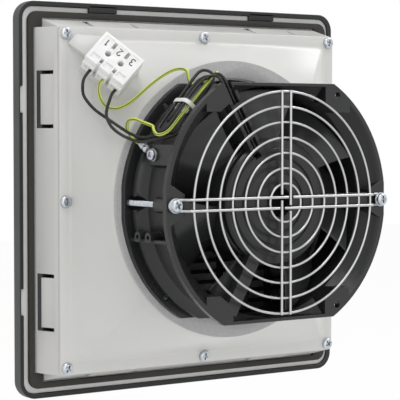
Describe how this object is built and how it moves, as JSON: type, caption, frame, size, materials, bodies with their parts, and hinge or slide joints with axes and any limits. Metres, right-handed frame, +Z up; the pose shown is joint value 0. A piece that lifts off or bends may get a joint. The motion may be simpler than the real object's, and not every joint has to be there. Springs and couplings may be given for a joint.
{
  "type": "cabinet filter fan",
  "caption": "Square filter fan for an enclosure wall: louvred cover, filter mat, snap-in frame and tapering hood with an axial fan, wire finger guard and terminal block.",
  "frame": {"origin": "centre of the panel cut-out, on the outer face of the panel, where the gasket seals", "axes": "+Y out of the cabinet through the louvres, +Z up, +X to the right as seen from inside the cabinet"},
  "size_m": [0.256, 0.1257, 0.256],
  "materials": {
    "cover_plastic": "fine moulded grain",
    "pale_plastic": "satin, slightly translucent",
    "filter_fleece": "felted fibres",
    "gasket_foam": "closed-cell foam",
    "seal_foam": "smooth foam sheet",
    "fan_black": "satin black paint",
    "impeller_black": "satin",
    "zinc_steel": "bright zinc plate",
    "guard_wire": "bright nickel plate",
    "motor_steel": "bare steel",
    "copper": "enamelled wire",
    "terminal_white": "smooth",
    "clamp_brass": "plain",
    "lead_black": "smooth insulation",
    "lead_earth": "two-colour insulation",
    "tie_white": "smooth"
  },
  "bodies": {
    "housing": {"filter_mat": "filter_fleece", "filter_grid": "cover_plastic", "mounting_frame": "pale_plastic", "panel_gasket": "gasket_foam", "fan_hood": "pale_plastic", "hood_screws": "zinc_steel", "fan_seal": "seal_foam", "fan_screws": "zinc_steel", "fan_housing": "fan_black", "stator_core": "motor_steel", "stator_windings": "copper", "bearing_front": "motor_steel", "bearing_rear": "motor_steel", "preload_spring": "motor_steel", "finger_guard": "guard_wire", "guard_screws": "zinc_steel", "guard_washers": "zinc_steel", "earth_screw": "zinc_steel", "earth_washer": "zinc_steel", "ring_terminal": "zinc_steel", "terminal_block": "terminal_white", "terminal_clamps": "clamp_brass", "terminal_screws": "zinc_steel", "lead_live": "lead_black", "lead_neutral": "lead_black", "lead_earth": "lead_earth", "earth_tail": "lead_earth", "motor_leads": "lead_black", "lead_hank": "lead_black", "cable_tie": "tie_white"},
    "impeller": {"impeller": "impeller_black", "rotor_cup": "fan_black", "rotor_cage": "motor_steel", "rotor_shaft": "motor_steel", "shaft_clip": "motor_steel"},
    "cover": {"front_cover": "cover_plastic"}
  },
  "joints": [
    {"name": "impeller_spin", "type": "hinge", "parent": "housing", "child": "impeller", "pos_m": [0, -0.08, 0], "axis": [0, -1, 0], "continuous": true},
    {"name": "cover_pull", "type": "slide", "parent": "housing", "child": "cover", "axis": [0, 1, 0], "range_m": [0, 0.04]}
  ]
}
